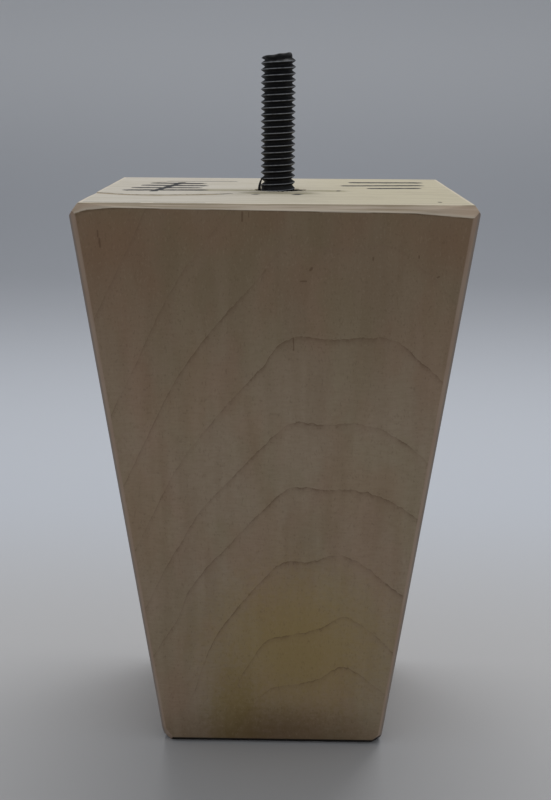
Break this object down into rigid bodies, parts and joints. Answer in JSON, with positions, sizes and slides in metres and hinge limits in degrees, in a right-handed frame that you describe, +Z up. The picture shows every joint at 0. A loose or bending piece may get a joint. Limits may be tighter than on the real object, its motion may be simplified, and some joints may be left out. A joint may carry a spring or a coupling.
{
  "type": "tapered wooden furniture leg",
  "caption": "Square tapered solid wood furniture leg with sanded edges and a threaded steel stud in its top.",
  "frame": {"origin": "middle of the foot, on the floor", "axes": "+Z up along the bolt, +Y to the back; the face pictured looks along -Y"},
  "size_m": [0.0826, 0.0827, 0.1544],
  "materials": {
    "wood": "matte",
    "bolt": "satin"
  },
  "bodies": {
    "root": {"leg_block": "wood", "hanger_bolt": "bolt"}
  },
  "joints": []
}
